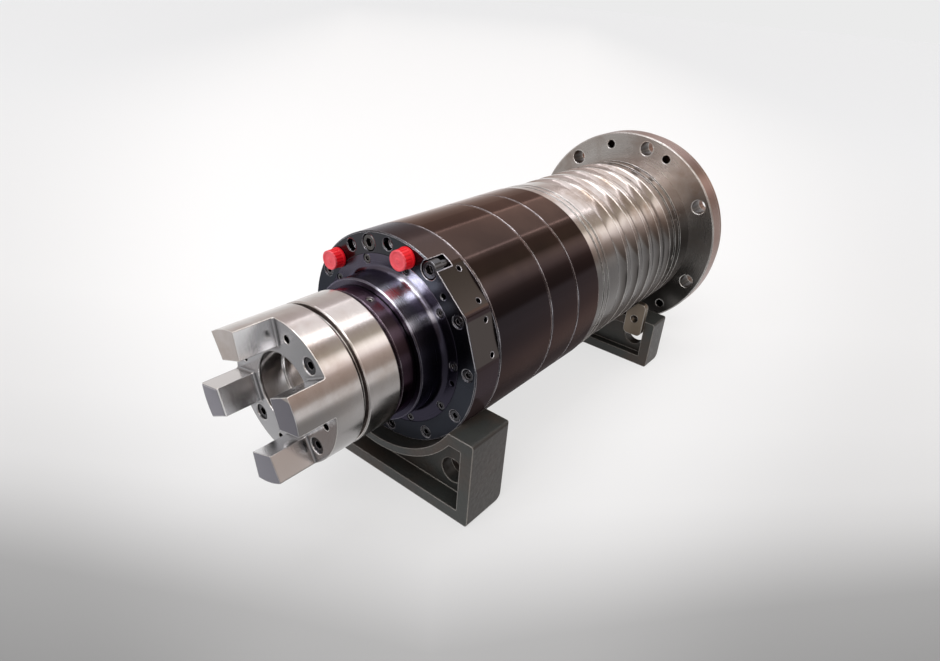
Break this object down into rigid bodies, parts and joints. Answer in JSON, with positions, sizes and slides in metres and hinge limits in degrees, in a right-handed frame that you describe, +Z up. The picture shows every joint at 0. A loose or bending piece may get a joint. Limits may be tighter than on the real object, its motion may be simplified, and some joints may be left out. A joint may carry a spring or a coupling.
{
  "type": "motor spindle",
  "caption": "Cartridge motor spindle with a four-claw clamping nose, black stepped housing, grooved cooling sleeve and large mounting flange, lying in two cast stands.",
  "frame": {"origin": "on the spindle axis, in the front face of the mounting flange, the face that seats on a machine", "axes": "X along the spindle axis with the nose toward -X, +Z up, stands below"},
  "size_m": [0.6955, 0.26, 0.27],
  "materials": {
    "black_steel": "glossy black-oxide steel",
    "bright_steel": "bright ground steel",
    "satin_steel": "satin turned steel",
    "cast_stand": "dark grey cast iron, painted",
    "tan_lug": "tan plated steel",
    "red_plastic": "bright red plastic",
    "black_screws": "black-oxide steel",
    "plated_fitting": "plated steel",
    "bearing_steel": "ground bearing steel",
    "brass_cage": "turned brass",
    "laminations": "stacked electrical steel",
    "winding_resin": "copper winding in resin",
    "sensor_plastic": "black sensor housing"
  },
  "bodies": {
    "housing": {"front_flange": "black_steel", "bearing_cover": "black_steel", "bearing_cover_screws": "black_screws", "front_flange_screws": "black_screws", "port_plug_bolt": "black_screws", "rim_bolt": "black_screws", "front_bearing_housing": "black_steel", "middle_housing": "black_steel", "rear_ring": "black_steel", "cooling_sleeve": "bright_steel", "mounting_flange": "satin_steel", "flange_screws": "black_screws", "rear_bearing_housing": "satin_steel", "rear_cover": "satin_steel", "rear_cover_screws": "black_screws", "stator_core": "laminations", "front_winding": "winding_resin", "rear_winding": "winding_resin", "front_bearing_outer_rings": "bearing_steel", "front_outer_spacer": "bearing_steel", "rear_bearing_outer_ring": "bearing_steel", "release_cylinder": "satin_steel", "cylinder_cap": "satin_steel", "cylinder_screws": "black_screws", "hydraulic_fittings": "plated_fitting", "encoder_sensor": "sensor_plastic", "front_stand": "cast_stand", "rear_stand": "cast_stand", "stand_screws": "black_screws", "clamp_lug": "tan_lug"},
    "rotor": {"spindle_shaft": "bright_steel", "claw_ring": "bright_steel", "claw_ring_screws": "black_screws", "labyrinth_ring": "black_steel", "labyrinth_set_screws": "black_screws", "front_bearing_inner_rings": "bearing_steel", "front_inner_spacer": "bearing_steel", "front_bearing_balls": "bearing_steel", "front_bearing_cages": "brass_cage", "front_locknut": "bearing_steel", "rotor_core": "laminations", "balancing_rings": "bearing_steel", "rear_bearing_inner_ring": "bearing_steel", "rear_bearing_rollers": "bearing_steel", "rear_bearing_cage": "brass_cage", "rear_locknut": "bearing_steel", "encoder_wheel": "laminations", "disc_springs": "bearing_steel"},
    "drawbar": {"drawbar": "bearing_steel", "gripper": "bearing_steel"},
    "release_piston": {"release_piston": "bearing_steel"},
    "port_cap_left": {"port_cap_left": "red_plastic"},
    "port_cap_right": {"port_cap_right": "red_plastic"}
  },
  "joints": [
    {"name": "spindle_turn", "type": "hinge", "parent": "housing", "child": "rotor", "pos_m": [0, 0, 0], "axis": [1, 0, 0], "continuous": true},
    {"name": "drawbar_slide", "type": "slide", "parent": "rotor", "child": "drawbar", "axis": [-1, 0, 0], "range_m": [0, 0.008], "stiffness_N_per_m": 4000, "deforming": ["disc_springs"]},
    {"name": "piston_slide", "type": "slide", "parent": "housing", "child": "release_piston", "axis": [-1, 0, 0], "range_m": [0, 0.008]},
    {"name": "left_cap_pull", "type": "slide", "parent": "housing", "child": "port_cap_left", "axis": [-1, 0, 0], "range_m": [0, 0.014]},
    {"name": "right_cap_pull", "type": "slide", "parent": "housing", "child": "port_cap_right", "axis": [-1, 0, 0], "range_m": [0, 0.014]}
  ],
  "couplings": [
    {"joint": "piston_slide", "follows": "drawbar_slide", "ratio": 1}
  ]
}
